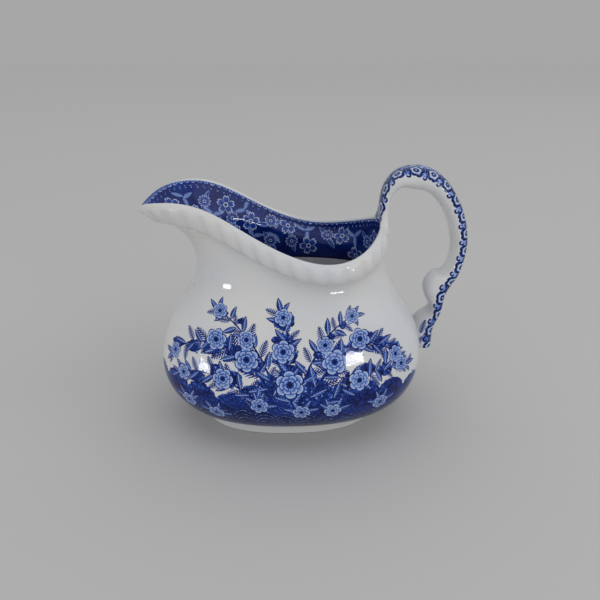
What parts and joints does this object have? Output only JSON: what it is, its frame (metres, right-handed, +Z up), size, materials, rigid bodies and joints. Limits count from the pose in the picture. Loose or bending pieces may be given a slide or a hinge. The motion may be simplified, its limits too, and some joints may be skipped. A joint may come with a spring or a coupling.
{
  "type": "cream jug",
  "caption": "Oval bellied porcelain cream jug with a raised spout, lobed border under the lip, oval foot and looped strap handle.",
  "frame": {"origin": "on the surface that the jug stands on, under the middle of its length from spout tip to handle; the foot's centre is 8.3 mm towards the spout from it", "axes": "+X towards the handle, so the spout points to -X; +Z up; Y across the jug, which is the same on both sides"},
  "size_m": [0.1466, 0.0836, 0.1217],
  "materials": {
    "body_ware": "clear gloss glaze over white ware, with a cobalt blue print",
    "foot_ware": "clear gloss glaze over white ware",
    "lip_ware": "clear gloss glaze over white ware",
    "border_ware": "clear gloss glaze over white ware",
    "handle_ware": "clear gloss glaze over white ware, with a cobalt blue print on the outer face"
  },
  "bodies": {
    "root": {"body": "body_ware", "foot_ring": "foot_ware", "lip_roll": "lip_ware", "gadroon_border": "border_ware", "handle_root": "handle_ware", "handle_loop": "handle_ware", "handle_scroll": "handle_ware", "handle_tail": "handle_ware"}
  },
  "joints": []
}
